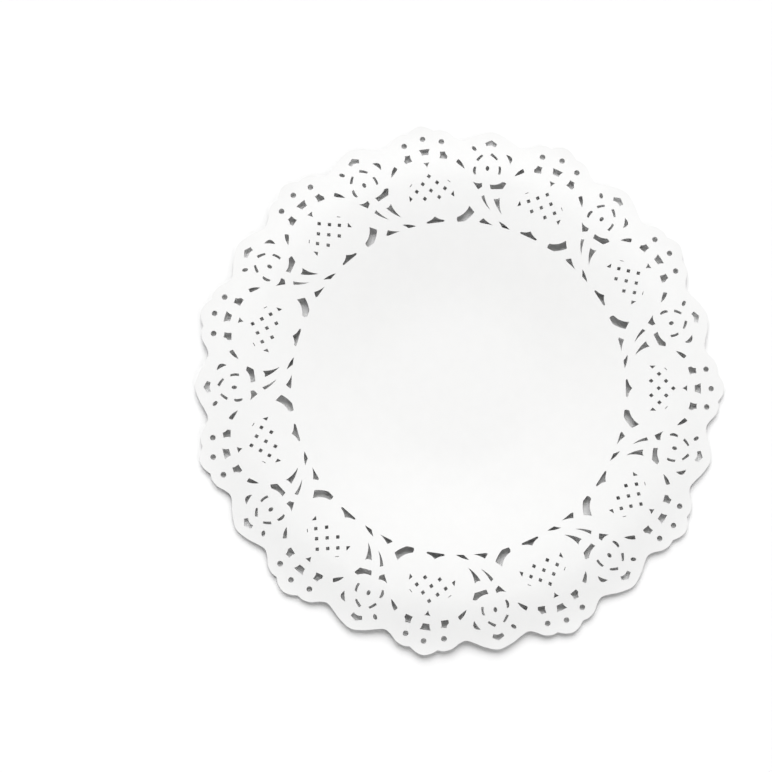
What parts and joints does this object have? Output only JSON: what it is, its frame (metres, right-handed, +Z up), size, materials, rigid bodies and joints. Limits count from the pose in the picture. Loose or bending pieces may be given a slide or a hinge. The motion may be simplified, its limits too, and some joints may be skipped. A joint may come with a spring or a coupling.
{
  "type": "round paper lace doily",
  "caption": "Round die-cut paper lace doily: a plain middle, a pierced band of hearts and roses, and a scalloped edge that stands slightly off the surface.",
  "frame": {"origin": "middle of the doily's underside, on the surface it lies on", "axes": "+Z up out of the side that faces up, +X through the tip of one heart's scallop, +Y a quarter turn anticlockwise from it"},
  "size_m": [0.214, 0.2139, 0.0053],
  "materials": {
    "paper": "matte"
  },
  "bodies": {
    "root": {"doily": "paper"}
  },
  "joints": []
}
